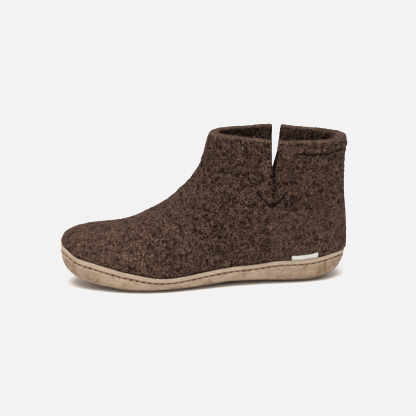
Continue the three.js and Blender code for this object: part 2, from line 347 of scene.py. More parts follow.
class Sketch:
    """A material under construction, with a short word for each kind of node."""

    def __init__(self, name: str) -> None:
        """Starts a material.

        Args:
            name: The material's name.
        """
        self.material = bpy.data.materials.new(name)
        self.material.use_nodes = True
        self.nodes = self.material.node_tree.nodes
        self.links = self.material.node_tree.links
        self.shader = self.nodes["Principled BSDF"]
        self.places = self.nodes.new("ShaderNodeTexCoord").outputs["Object"]

    def join(self, source: object, target: bpy.types.NodeSocket) -> None:
        """Links a socket to an input, or sets the input to a number or colour.

        Args:
            source: An output socket, a number or a colour.
            target: The input that takes it.
        """
        if isinstance(source, bpy.types.NodeSocket):
            self.links.new(source, target)
        else:
            target.default_value = source

    def noise(self, size: float, detail: float = 2.0, seed: float = 0.0, twist: float = 0.0,
              stretch: tuple[float, float, float] = (1, 1, 1)) -> bpy.types.NodeSocket:
        """Adds soft random blotches.

        Args:
            size: The size of a blotch, in mm.
            detail: How much finer structure they have.
            seed: Which random pattern it is.
            twist: How far the pattern is distorted.
            stretch: The factor that each axis is scaled by.

        Returns:
            The strength of the pattern, about 0.5 on average.
        """
        node = self.nodes.new("ShaderNodeTexNoise")
        node.noise_dimensions = "4D"
        node.inputs["W"].default_value = seed
        node.inputs["Scale"].default_value = 1 / (size * MM)
        node.inputs["Detail"].default_value = detail
        node.inputs["Distortion"].default_value = twist
        if stretch == (1, 1, 1):
            self.links.new(self.places, node.inputs["Vector"])
        else:
            mapping = self.nodes.new("ShaderNodeMapping")
            mapping.inputs["Scale"].default_value = stretch
            self.links.new(self.places, mapping.inputs["Vector"])
            self.links.new(mapping.outputs["Vector"], node.inputs["Vector"])
        return node.outputs["Fac"]

    def sum_up(self, kind: str, first: object, second: object = 0.0) -> bpy.types.NodeSocket:
        """Adds a step of arithmetic.

        Args:
            kind: Blender's name for the operation.
            first: A socket or a number.
            second: A socket or a number.

        Returns:
            The result.
        """
        node = self.nodes.new("ShaderNodeMath")
        node.operation = kind
        self.join(first, node.inputs[0])
        self.join(second, node.inputs[1])
        return node.outputs[0]

    def range(self, value: object, low: float, high: float, start: float = 0.0,
              end: float = 1.0) -> bpy.types.NodeSocket:
        """Carries the span from low to high over to start to end, smoothly, and holds it there.

        Args:
            value: The socket to carry over.
            low: The value that becomes start.
            high: The value that becomes end.
            start: The result at low.
            end: The result at high.

        Returns:
            The carried value.
        """
        node = self.nodes.new("ShaderNodeMapRange")
        node.interpolation_type = "SMOOTHSTEP"
        self.join(value, node.inputs["Value"])
        node.inputs["From Min"].default_value = low
        node.inputs["From Max"].default_value = high
        node.inputs["To Min"].default_value = start
        node.inputs["To Max"].default_value = end
        return node.outputs["Result"]

    def strands(self, size: float, width: float, seed: float, share: float) -> bpy.types.NodeSocket:
        """Adds thin curly lines, broken into loose lengths, like matted wool.

        Args:
            size: The size of a curl, in mm.
            width: How wide the lines are, as a share of the pattern's strength.
            seed: Which random pattern it is.
            share: How much of each line is left out, about 0.5 for half.

        Returns:
            1 along the middle of a line, and 0 beside it.
        """
        pattern = self.noise(size, 1.0, seed, 0.5)
        off = self.sum_up("ABSOLUTE", self.sum_up("SUBTRACT", pattern, 0.5))
        line = self.range(off, width, 0.0)
        keep = self.range(self.noise(size * 1.4, 0.0, seed + 31.7), share - 0.06, share + 0.06)
        return self.sum_up("MULTIPLY", line, keep)

    def blend(self, share: object, first: object, second: object) -> bpy.types.NodeSocket:
        """Mixes two colours.

        Args:
            share: How much of the second colour shows, from 0 to 1.
            first: A colour or a socket.
            second: A colour or a socket.

        Returns:
            The mixed colour.
        """
        node = self.nodes.new("ShaderNodeMix")
        node.data_type = "RGBA"
        self.join(share, node.inputs["Factor"])
        self.join(first, node.inputs[6])
        self.join(second, node.inputs[7])
        return node.outputs[2]

    def attribute(self, name: str) -> bpy.types.NodeSocket:
        """Reads one of the piece's own attributes.

        Args:
            name: The attribute's name.

        Returns:
            Its number.
        """
        node = self.nodes.new("ShaderNodeAttribute")
        node.attribute_name = name
        return node.outputs["Fac"]

    def relief(self, height: object, depth: float, strength: float = 1.0) -> None:
        """Raises the surface by a pattern, over any relief that is there already.

        Args:
            height: The pattern.
            depth: How high a strength of 1 stands, in mm.
            strength: How much of the slopes shows.
        """
        node = self.nodes.new("ShaderNodeBump")
        node.inputs["Strength"].default_value = strength
        node.inputs["Distance"].default_value = depth * MM
        self.join(height, node.inputs["Height"])
        before = self.shader.inputs["Normal"].links
        if before:
            self.links.new(before[0].from_socket, node.inputs["Normal"])
        self.links.new(node.outputs["Normal"], self.shader.inputs["Normal"])

    def set(self, **values: object) -> None:
        """Sets the shader's own sockets.

        Args:
            **values: The socket's name, with _ for a space, and its number, colour or source.
        """
        for key, value in values.items():
            socket = key.replace("_", " ").title().replace("Ior", "IOR")
            self.join(value, self.shader.inputs[socket])


def tint(red: float, green: float, blue: float) -> tuple[float, float, float, float]:
    """Turns a colour as a paint card gives it, 0 to 255, into the light that it sends back.

    Args:
        red: The red share.
        green: The green share.
        blue: The blue share.

    Returns:
        The linear colour, with full opacity.
    """
    steps = [value / 255 for value in (red, green, blue)]
    light = [((step + 0.055) / 1.055) ** 2.4 if step > 0.04 else step / 12.92 for step in steps]
    return (*light, 1.0)


@dataclass(frozen=True)
class FeltFinish:
    """Matted wool of dark and light hairs. Colours as tint takes them."""

    name: str
    dark: tuple[float, float, float] = (6, 3, 2)
    body: tuple[float, float, float] = (44, 26, 20)
    lock: tuple[float, float, float] = (78, 53, 42)
    hair: tuple[float, float, float] = (178, 141, 120)
    # edge: the collar's cut top, paler cut felt and partly a painted highlight
    edge: tuple[float, float, float] = (156, 127, 107)
    toe: tuple[float, float, float] = (65, 42, 33)
    rust: tuple[float, float, float] = (65, 35, 24)

    def make(self) -> bpy.types.Material:
        """Makes the material, which reads the attributes edge (paler cut felt and painted highlight), crease
        (painted shade), toe and inner (painted shade inside).
        """
        wool = Sketch(self.name)
        patches = wool.noise(13, 3.0, 1.0)
        clumps = wool.noise(2.0, 2.0, 5.0, 0.7)
        warm = wool.range(wool.noise(6, 2.0, 8.0), 0.5, 0.7, 0.0, 0.6)
        body = wool.blend(wool.attribute("toe"), tint(*self.body), tint(*self.toe))
        body = wool.blend(warm, body, tint(*self.rust))
        colour = wool.blend(wool.range(clumps, 0.42, 0.55), tint(*self.dark), body)
        # the collar's cut top: paler cut felt, partly a painted highlight
        edge = wool.attribute("edge")
        cut = wool.sum_up("MULTIPLY", edge, wool.range(clumps, 0.35, 0.6, 0.55, 0.95))
        colour = wool.blend(cut, colour, tint(*self.edge))
        wide, narrow = wool.strands(2.7, 0.12, 11.0, 0.5), wool.strands(2.1, 0.12, 13.0, 0.52)
        locks = wool.sum_up("MAXIMUM", wide, narrow)
        tight, loose = wool.strands(2.3, 0.08, 17.0, 0.5), wool.strands(3.3, 0.06, 23.0, 0.46)
        curls = wool.sum_up("MAXIMUM", tight, loose)
        fade = wool.range(patches, 0.3, 0.7, 0.58, 1.0)
        locks = wool.sum_up("MULTIPLY", locks, wool.range(edge, 0.0, 1.0, 1.0, 0.3))
        colour = wool.blend(wool.sum_up("MULTIPLY", locks, fade), colour, tint(*self.lock))
        colour = wool.blend(wool.sum_up("MULTIPLY", curls, fade), colour, tint(*self.hair))
        pits = wool.range(wool.noise(1.6, 1.5, 41.0), 0.51, 0.58, 0.0, 1.0)
        pits = wool.sum_up("MULTIPLY", pits, wool.range(edge, 0.0, 1.0, 1.0, 0.55))
        colour = wool.blend(pits, colour, tint(*self.dark))
        # darkens the felt, most on the shaft and least at the toe; the lighter toe is partly painted light on
        # its upward faces
        shade = wool.range(wool.attribute("toe"), 0.0, 0.8, 0.59, 0.28)
        colour = wool.blend(shade, colour, tint(*self.dark))
        # painted shade inside the boot: the inner faces are darkened a little
        inner = wool.sum_up("MULTIPLY", wool.attribute("inner"), 0.03)
        colour = wool.blend(inner, colour, tint(*self.dark))
        # painted shade from the crease attribute: in the creases, along the joint with the leather and on and
        # behind the slits' walls
        colour = wool.blend(wool.attribute("crease"), colour, tint(*self.dark))
        wool.set(base_color=colour, roughness=0.95, specular_ior_level=0.09)
        wool.set(sheen_weight=0.03, sheen_roughness=0.5, sheen_tint=tint(190, 160, 140))
        wool.relief(clumps, 1.2, 0.8)
        wool.relief(curls, 0.5, 0.9)
        return wool.material


@dataclass(frozen=True)
class HairFinish:
    """Loose wool hairs, each with a shade of its own."""

    name: str = "wool_hair"
    dark: tuple[float, float, float] = (8, 4, 3)
    light: tuple[float, float, float] = (144, 112, 96)

    def make(self) -> bpy.types.Material:
        """Makes the material, which reads the attribute shade."""
        hair = Sketch(self.name)
        colour = hair.blend(hair.attribute("shade"), tint(*self.dark), tint(*self.light))
        hair.set(base_color=colour, roughness=0.85, specular_ior_level=0.2)
        return hair.material


@dataclass(frozen=True)
class SuedeFinish:
    """Tan suede with a short nap, lighter along the rim's band and darker near the floor, with painted shade
    in the groove, the gathers and the turned edge's line.
    """

    name: str = "tan_suede"
    body: tuple[float, float, float] = (161, 139, 118)
    light: tuple[float, float, float] = (176, 158, 139)
    dark: tuple[float, float, float] = (119, 95, 74)
    # seam: painted shadow in the groove, darkest in the gaps between stitches
    seam: tuple[float, float, float] = (37, 18, 11)
    stain: tuple[float, float, float] = (135, 86, 53)
    seam_drop: float = 4.7  # rim to the middle of the groove, in mm
    lip_drop: float = 1.7  # rim to the line where its edge is turned over, in mm

    def make(self) -> bpy.types.Material:
        """Makes the material, which reads the attributes drop, beat, stain and outer, and the one that holds
        painted shade in the gathers and darkening near the floor and at the ends.
        """
        hide = Sketch(self.name)
        patches = hide.noise(8, 3.0, 2.0, 0.3)
        nap = hide.noise(1.3, 3.0, 7.0, 0.8, (1, 1, 1.6))
        streaks = hide.noise(3.5, 3.0, 19.0, 1.2, (1, 1, 2.4))
        drop, outer = hide.attribute("drop"), hide.attribute("outer")
        colour = hide.blend(hide.range(patches, 0.38, 0.72), tint(*self.body), tint(*self.dark))
        colour = hide.blend(hide.range(streaks, 0.5, 0.66, 0.0, 0.6), colour, tint(*self.dark))
        colour = hide.blend(hide.range(nap, 0.46, 0.58, 0.0, 0.8), colour, tint(*self.light))
        # painted shade in the heel's gathers, with darkening near the floor and towards the heel and toe
        shade_and_darkening = hide.sum_up("MULTIPLY", hide.attribute("shade_and_darkening"), hide.range(patches, 0.25, 0.6, 0.55, 0.95))
        colour = hide.blend(shade_and_darkening, colour, tint(*self.dark))
        colour = hide.blend(hide.range(drop, self.seam_drop - 0.5, 3.2, 0.0, 0.55), colour, tint(*self.light))
        # painted shade along the line where the rim's edge is turned over
        colour = hide.blend(self.line(hide, drop, self.lip_drop, 0.6, 0.2), colour, tint(*self.dark))
        colour = hide.blend(hide.attribute("stain"), colour, tint(*self.stain))
        # painted shadow in the groove, darkest between the stitches
        dash = hide.range(hide.attribute("beat"), 0.45, 0.15, 0.45, 0.97)
        groove = hide.sum_up("MULTIPLY", self.line(hide, drop, self.seam_drop, 0.9, 1.0), outer)
        colour = hide.blend(hide.sum_up("MULTIPLY", groove, dash), colour, tint(*self.seam))
        hide.set(base_color=colour, roughness=0.9, specular_ior_level=0.11)
        hide.set(sheen_weight=0.04, sheen_roughness=0.4)
        hide.relief(hide.noise(5, 3.0, 13.0, 0.8, (1, 1, 0.6)), 0.8, 0.4)
        hide.relief(nap, 0.4, 0.8)
        return hide.material

    @staticmethod
    def line(hide: Sketch, drop: bpy.types.NodeSocket, middle: float, half: float,
             strength: float) -> bpy.types.NodeSocket:
        """Draws a soft line that runs level with the rim.

        Args:
            hide: The material under construction.
            drop: The distance under the rim, in mm.
            middle: The line's distance under the rim, in mm.
            half: Half of its width, in mm.
            strength: Its strength in the middle.

        Returns:
            The line's strength.
        """
        off = hide.sum_up("ABSOLUTE", hide.sum_up("SUBTRACT", drop, middle))
        return hide.range(off, half * 0.35, half, strength, 0.0)


@dataclass(frozen=True)
class ThreadFinish:
    """Waxed linen thread of a reddish tan, laid in plies."""

    name: str = "linen_thread"
    body: tuple[float, float, float] = (165, 116, 91)
    dark: tuple[float, float, float] = (126, 79, 58)

    def make(self) -> bpy.types.Material:
        """Makes the material."""
        thread = Sketch(self.name)
        plies = thread.noise(0.5, 1.0, 3.0, 0.4)
        thread.set(base_color=thread.blend(thread.range(plies, 0.4, 0.6), tint(*self.dark), tint(*self.body)))
        thread.set(roughness=0.7)
        thread.relief(plies, 0.2, 0.6)
        return thread.material


@dataclass(frozen=True)
class TapeFinish:
    """Plain white woven tape."""

    name: str = "white_tape"
    body: tuple[float, float, float] = (193, 193, 189)
    shade: tuple[float, float, float] = (174, 174, 170)

    def make(self) -> bpy.types.Material:
        """Makes the material, with warp and weft too fine to count."""
        tape = Sketch(self.name)
        ribs = tape.noise(0.5, 1.0, 9.0, 0.0, (1, 1, 0.25))
        cross = tape.noise(0.5, 1.0, 4.0, 0.0, (0.25, 0.25, 1))
        weave = tape.sum_up("MAXIMUM", ribs, cross)
        gaps = tape.range(weave, 0.4, 0.7, 0.6, 0.0)
        tape.set(base_color=tape.blend(gaps, tint(*self.body), tint(*self.shade)), roughness=0.8)
        tape.relief(weave, 0.1, 0.4)
        return tape.material


@dataclass(frozen=True)
class Slit:
    """A slit in the shaft, by its side view. Lengths in mm, X from the boot's middle."""

    side: Side
    front: float  # X of its front edge at the foot
    lean: float  # how far the front edge leans to the heel at the collar
    mouth: float
    throat: float
    throat_drop: float
    foot: float
    depth: float = 52.3

    def edges(self, drop: float) -> tuple[float, float]:
        """Gives the slit's back and front edge at a drop below the collar.

        Args:
            drop: The depth below the collar, in mm.

        Returns:
            The X of the back edge and of the front edge, in mm.
        """
        front = self.front - self.lean * (1 - min(max(drop, 0) / self.depth, 1))
        drops = [0, self.throat_drop, self.depth]
        width = float(np.interp(drop, drops, [self.mouth, self.throat, self.foot]))
        return front - width, front

    def cutter(self, collar: float) -> bpy.types.Object:
        """Models the wedge that opens the slit, from a cube cut at its throat.

        Args:
            collar: The height of the collar at the slit, in mm.

        Returns:
            The wedge, as an object to cut with.
        """
        near, far, above = 8.0, 62.0, 15.0
        levels = [collar + above, collar, collar - self.throat_drop, collar - self.depth]
        middle = (0.5 * (levels[0] + levels[-1])) * MM
        bpy.ops.object.select_all(action="DESELECT")
        bpy.ops.mesh.primitive_cube_add(size=1, location=(0, 0, 0))
        wedge = bpy.context.object
        bpy.ops.object.mode_set(mode="EDIT")
        bpy.ops.mesh.select_all(action="SELECT")
        bpy.ops.transform.resize(value=(MM, (far - near) * MM, (levels[0] - levels[-1]) * MM))
        bpy.ops.transform.translate(value=(0, self.side.value * 0.5 * (near + far) * MM, middle))
        for level in levels[1:-1]:
            bpy.ops.mesh.select_all(action="SELECT")
            bpy.ops.mesh.bisect(plane_co=(0, 0, level * MM), plane_no=(0, 0, 1))
        bpy.ops.object.mode_set(mode="OBJECT")
        points = read_points(wedge)
        for point in points:
            back, front = self.edges(collar - point[2] / MM)
            point[0] = (front if point[0] > 0 else back) * MM
        write_points(wedge, points)
        return wedge


@dataclass(frozen=True)
class Crease:
    """A soft trough pressed into the felt, with a ridge beside it and painted shade in its bottom. Lengths in
    mm.
    """

    depth: float
    width: float
    above: float = 0.0  # height of the ridge over the trough
    below: float = 0.0  # height of the ridge under it
    reach: float = 3.0  # distance of the ridges from the trough
    painted_shade: float = 0.6  # how much painted shade darkens the bottom, from 0 to 1
    start: float = 4.0  # length over which it fades in
    end: float = 4.0  # length over which it fades out

    def trace(self, felt: BVHTree) -> np.ndarray:
        """Follows the crease over the felt. The kinds of crease say how."""
        raise NotImplementedError

    def press(self, points: np.ndarray, normals: np.ndarray, felt: BVHTree) -> np.ndarray:
        """Presses the crease into a mesh.

        Args:
            points: The mesh's vertices, in metres, which are moved.
            normals: The direction that the surface faces at each.
            felt: The surface that the crease is traced on.

        Returns:
            How much painted shade darkens the crease at each vertex, from 0 to 1.
        """
        path = self.trace(felt)
        room = (self.reach + 3 * self.width) * MM
        near = np.all((points > path.min(0) - room) & (points < path.max(0) + room), axis=1)
        ids = np.flatnonzero(near)
        offsets = points[ids, None, :] - path[None, :, :]
        distance = np.linalg.norm(offsets, axis=2)
        nearest = distance.argmin(axis=1)
        closest = distance.min(axis=1) / MM
        upward = offsets[np.arange(len(ids)), nearest, 2] / MM
        run = np.concatenate([[0], np.cumsum(np.linalg.norm(np.diff(path, axis=0), axis=1))]) / MM
        fade = rise(run, -0.2 * self.start, self.start) * rise(run[-1] - run, -0.2 * self.end, self.end)
        fade = fade[nearest]
        trough = hump(closest, self.width)
        ridges = hump(closest - self.reach, self.reach * 0.6)
        ridges = ridges * np.where(upward > 0, self.above, self.below)
        points[ids] += normals[ids] * ((ridges - self.depth * trough) * fade * MM)[:, None]
        # painted shade in the trough's bottom
        dark = np.zeros(len(points))
        dark[ids] = trough * fade * self.painted_shade
        return dark


@dataclass(frozen=True)
class SideCrease(Crease):
    """A crease drawn in the side view, through places (X, Z) in mm."""

    side: Side = Side.OUTER
    places: tuple[tuple[float, float], ...] = ()
    steps: int = 24

    def trace(self, felt: BVHTree) -> np.ndarray:
        """Throws the drawn line on the felt from the side.

        Args:
            felt: The felt's surface.

        Returns:
            Points on it, in metres.
        """
        drawn = np.array(self.places) * MM
        shares = np.linspace(0, 1, len(drawn))
        found = []
        for share in np.linspace(0, 1, self.steps):
            x = np.interp(share, shares, drawn[:, 0])
            z = np.interp(share, shares, drawn[:, 1])
            start = Vector((x, self.side.value * OUTSIDE, z))
            hit = felt.ray_cast(start, Vector((0, -self.side.value, 0)))[0]
            if hit is not None:
                found.append(hit)
        return np.array(found)


@dataclass(frozen=True)
class RingCrease(Crease):
    """A crease that runs round the shaft, through places (angle, Z), in degrees and mm.

    Angles go round from the toe's direction, 0, over the outer side, 90, to the back, 180.
    """

    centre: float = SHAFT_X
    places: tuple[tuple[float, float], ...] = ()
    steps: int = 60

    def trace(self, felt: BVHTree) -> np.ndarray:
        """Throws the line on the felt from all round.

        Args:
            felt: The felt's surface.

        Returns:
            Points on it, in metres.
        """
        drawn = np.array(self.places)
        found = []
        for angle in np.linspace(drawn[0, 0], drawn[-1, 0], self.steps):
            z = np.interp(angle, drawn[:, 0], drawn[:, 1]) * MM
            out = Vector((math.cos(math.radians(angle)), math.sin(math.radians(angle)), 0))
            middle = Vector((self.centre * MM, 0, z))
            hit = felt.ray_cast(middle + out * OUTSIDE, -out)[0]
            if hit is not None:
                found.append(hit)
        return np.array(found)


INNER_SHIFT = 3.3  # how much nearer the heel, in mm, the inner side's sewn V is


def vee(side: Side) -> tuple[SideCrease, ...]:
    """Draws the sewn V under a slit: its two arms and the hollow between them.

    Args:
        side: The side of the boot.

    Returns:
        The creases.
    """
    shift = INNER_SHIFT if side is Side.INNER else 0.0
    drawn = (
        ((-48.4, 91.8), (-54.6, 84.8), (-57.9, 80.0), (-62.9, 73.9)),
        ((-79.6, 90.8), (-73.9, 84.9), (-70.2, 80.7), (-66.6, 77.2), (-62.9, 73.9)),
        ((-59.6, 80.6), (-61.6, 78.2), (-64.6, 77.7), (-68.0, 80.4)),
    )
    front, back, hollow = (tuple((x - shift, z) for x, z in places) for places in drawn)
    return (
        SideCrease(1.8, 1.15, below=0.8, reach=2.7, painted_shade=1.0, start=3.0, end=0.2, side=side, places=front),
        SideCrease(2.0, 1.3, below=1.4, reach=2.9, painted_shade=1.0, start=3.0, end=0.2, side=side, places=back),
        SideCrease(0.9, 2.4, reach=6.0, painted_shade=0.8, start=3.0, end=3.0, side=side, places=hollow, steps=12),
    )


COLLAR_BACK = RingCrease(
    1.6, 1.0, above=1.1, below=0.4, reach=2.8, painted_shade=1.0,
    places=((110, 127.2), (117.5, 126.0), (124, 125.2), (132, 124.6), (145, 124.6), (153, 125.0),
            (161, 125.1), (170, 124.2), (184, 124.4), (200, 124.9), (222, 125.2), (240, 127.0)),
)
FRONT_OF_SHAFT = SideCrease(
    0.9, 0.9, above=0.5, reach=2.4, painted_shade=0.9,
    places=((-12.0, 107.0), (-19.0, 107.2), (-28.5, 107.9)),
)
INNER_SLIT_LINE = SideCrease(
    1.0, 0.6, reach=2.4, painted_shade=1.0, start=0.5, side=Side.INNER,
    places=((-68.9, 100.5), (-68.6, 87.0)),
)


@dataclass
class FeltUpper:
    """The felt foot and shaft, in one piece. Lengths in mm."""

    rim: Skyline  # the top line of the leather that the felt is sewn into
    grain: float = 0.65  # the grid that the surface is rebuilt on
    keep_edge: float = 5.0  # how near a cut edge the surface isn't smoothed
    lump_size: float = 17.0
    lump_height: float = 1.1
    nub_size: float = 3.0
    nub_height: float = 0.42
    joint_depth: float = 0.6  # how far the seam draws the felt in
    joint_width: float = 1.1
    # how dark the painted shade is along the felt's joint with the leather
    joint_shade: float = 0.5
    wall_shade: float = 0.9  # how much painted shade darkens the slits' walls and the inner faces behind them
    sag: float = 1.7  # how much lower the collar hangs at the outer side
    flare: float = 1.5  # how far it stands up beside the inner slit
    swell: float = 3.4  # how much further its back reaches inwards
    bend: float = 1.5  # how far the inner slit's foot bends to the toe
    triangles: int = 195000
    slits: tuple[Slit, ...] = (
        Slit(Side.OUTER, front=-64.3, lean=0.7, mouth=6.5, throat=2.6, throat_drop=27.0, foot=2.0),
        Slit(Side.INNER, front=-68.5, lean=0.5, mouth=8.7, throat=1.9, throat_drop=35.0, foot=0.4,
             depth=41.0),
    )
    creases: tuple[Crease, ...] = (
        COLLAR_BACK, FRONT_OF_SHAFT, INNER_SLIT_LINE, *vee(Side.OUTER), *vee(Side.INNER),
    )
    finish: FeltFinish = FeltFinish("brown_felt")
    piece: bpy.types.Object = field(init=False)
    slope: np.ndarray = field(init=False)

    def collar(self, places: np.ndarray) -> np.ndarray:
        """Gives the collar's height, in metres, at each place along the boot."""
        return np.polyval(self.slope, places)

    def under_collar(self, points: np.ndarray) -> np.ndarray:
        """Measures how far points are below the collar's line, in mm."""
        return (self.collar(points[:, 0]) - points[:, 2]) / MM

    def over_rim(self, points: np.ndarray) -> np.ndarray:
        """Measures how far points are above the leather's rim, in mm."""
        return (points[:, 2] - self.rim.at(points[:, 0])) / MM

    def measure_collar(self) -> None:
        """Finds the straight line of the collar from the upper's top, beside the slits."""
        line = Skyline(surface_of(self.piece), -128 * MM, -20 * MM)
        fair = abs(line.places + 70 * MM) > 14 * MM
        self.slope = np.polyfit(line.places[fair], line.heights[fair], 1)

    def edge_distance(self, points: np.ndarray, collar: bool = True) -> np.ndarray:
        """Measures how far each point is from the slits and from the collar's edge.

        Args:
            points: The points, in metres.
            collar: Whether the collar's edge counts.

        Returns:
            The distance to the nearest cut edge, in mm.
        """
        drop = self.under_collar(points)
        nearest = np.where(collar & (points[:, 0] < COLLAR_END * MM), drop, 1000.0)
        for slit in self.slits:
            levels = np.array([slit.edges(value) for value in np.clip(drop, 0, slit.depth)])
            side = points[:, 1] * slit.side.value > 0
            gap = np.maximum(levels[:, 0] - points[:, 0] / MM, points[:, 0] / MM - levels[:, 1])
            gap = np.hypot(np.maximum(gap, 0), np.maximum(drop - slit.depth, 0))
            nearest = np.where(side, np.minimum(nearest, gap), nearest)
        return nearest

    def soften(self) -> None:
        """Smooths the facets away, but for the cut edges, and gives the felt its lumps."""
        near = self.edge_distance(read_points(self.piece))
        group = write_weights(self.piece, "soft", rise(near, 1.2, self.keep_edge))
        apply_modifier(self.piece, "SMOOTH", factor=0.5, iterations=90, vertex_group=group)
        apply_modifier(self.piece, "SMOOTH", factor=0.5, iterations=3)
        points = read_points(self.piece)
        above = self.over_rim(points)
        cap = write_weights(self.piece, "cap", rise(points[:, 0], 70 * MM, 100 * MM) * rise(above, 1.0, 6.0))
        apply_modifier(self.piece, "SMOOTH", factor=0.5, iterations=260, vertex_group=cap)
        points = read_points(self.piece)
        points[:, 2] -= toe_dip(points[:, 0]) * rise(above, 14.0, 3.0)
        write_points(self.piece, points)
        for size, height in ((self.lump_size, self.lump_height), (self.nub_size, self.nub_height)):
            lumps = bpy.data.textures.new("felt_lumps", "CLOUDS")
            lumps.noise_scale = size * MM
            lumps.noise_depth = 2
            apply_modifier(self.piece, "DISPLACE", texture=lumps, texture_coords="LOCAL",
                           vertex_group=group, strength=height * MM, mid_level=0.5)

    def crease(self) -> None:
        """Presses the creases in, and keeps the painted shade in them, along the joint with the leather and
        on and behind the slits' walls.
        """
        felt = surface_of(self.piece)
        points = read_points(self.piece)
        normals = read_normals(self.piece)
        above = self.over_rim(points)
        # painted shade along the joint, where the seam draws the felt in
        dark = hump(above - 0.3, self.joint_width) * (1 - inside_share(points, normals))
        points -= normals * (self.joint_depth * MM * dark)[:, None]
        dark *= self.joint_shade
        for crease in self.creases:
            dark = np.maximum(dark, crease.press(points, normals, felt))
        drop = self.under_collar(points)
        # painted shade on the slits' walls, and on the inner faces behind them
        walls = rise(self.edge_distance(points, collar=False), 1.0, 0.4) * rise(drop, 2.0, 14.0)
        dark = np.maximum(dark, self.wall_shade * walls)
        near = rise(self.edge_distance(points, collar=False), 7.0, 3.5) * rise(drop, 18.0, 30.0)
        dark = np.maximum(dark, self.wall_shade * near * inside_share(points, normals))
        write_points(self.piece, points)
        # the crease attribute holds the painted shade
        write_attribute(self.piece, "crease", dark)

    def mark(self) -> None:
        """Keeps where the felt is cut and paler, with a painted highlight on the collar's top, for the
        material.
        """
        points = read_points(self.piece)
        normals = read_normals(self.piece)
        drop = self.under_collar(points)
        # the collar's top: paler cut felt, partly a painted highlight on the faces that look up; less of it
        # at the heel
        top = rise(drop, 3.6, 1.6) * rise(normals[:, 2], 0.05, 0.5)
        top *= points[:, 0] < COLLAR_END * MM
        top *= 1 - 0.45 * rise(points[:, 0], -98 * MM, -122 * MM)
        write_attribute(self.piece, "edge", top)
        write_attribute(self.piece, "inner", inside_share(points, normals))
        write_attribute(self.piece, "toe", rise(points[:, 0], -20 * MM, 120 * MM))

    def hang(self) -> None:
        """Lets the soft collar sag, flare and roll in, and bends the inner slit's foot to the toe."""
        points = read_points(self.piece)
        normals = read_normals(self.piece)
        x, y, z = (points / MM).T
        drop = self.collar(points[:, 0]) / MM - z
        away = np.stack([x - SHAFT_X, y], axis=1)
        facing = (away * normals[:, :2]).sum(axis=1) / np.maximum(np.linalg.norm(away, axis=1), 1e-6)
        beside = np.maximum(np.abs(x - self.slits[1].front) - 4.0, 0.0)
        lift = self.flare * hump(beside, 14.0) * rise(y, 0.0, -20.0) * rise(drop, 22.0, 0.0)
        sag = self.sag * rise(y, 0.0, 25.0) * rise(drop, 45.0, 0.0) * rise(x, -35.0, -70.0)
        roll = self.swell * rise(facing, 0.7, 0.0) * rise(x, -88.0, -112.0) * rise(drop, 16.0, 4.0)
        bend = self.bend * rise(drop, 24.0, 38.0) * rise(drop, 85.0, 55.0)
        bend *= hump(x - self.slits[1].front, 16.0) * rise(y, -5.0, -25.0)
        write_points(self.piece, np.stack([x + roll + bend, y, z + lift - sag], axis=1) * MM)

    def build(self) -> None:
        """Models and dresses the upper."""
        self.piece = node_copy("upper", "felt_upper")
        self.measure_collar()
        for slit in self.slits:
            wedge = slit.cutter(float(self.collar(slit.front * MM)) / MM)
            apply_modifier(self.piece, "BOOLEAN", operation="DIFFERENCE", solver="EXACT", object=wedge)
            bpy.data.objects.remove(wedge)
        apply_modifier(self.piece, "REMESH", mode="VOXEL", voxel_size=self.grain * MM)
        self.soften()
        self.crease()
        points = read_points(self.piece)
        deep = rise(points[:, 2], 108 * MM, 96 * MM) * inside_share(points, read_normals(self.piece))
        thin_out(self.piece, self.triangles, deep)
        self.mark()
        self.hang()
        self.piece.data.materials.append(self.finish.make())
        finish_piece(self.piece, ("upper",))


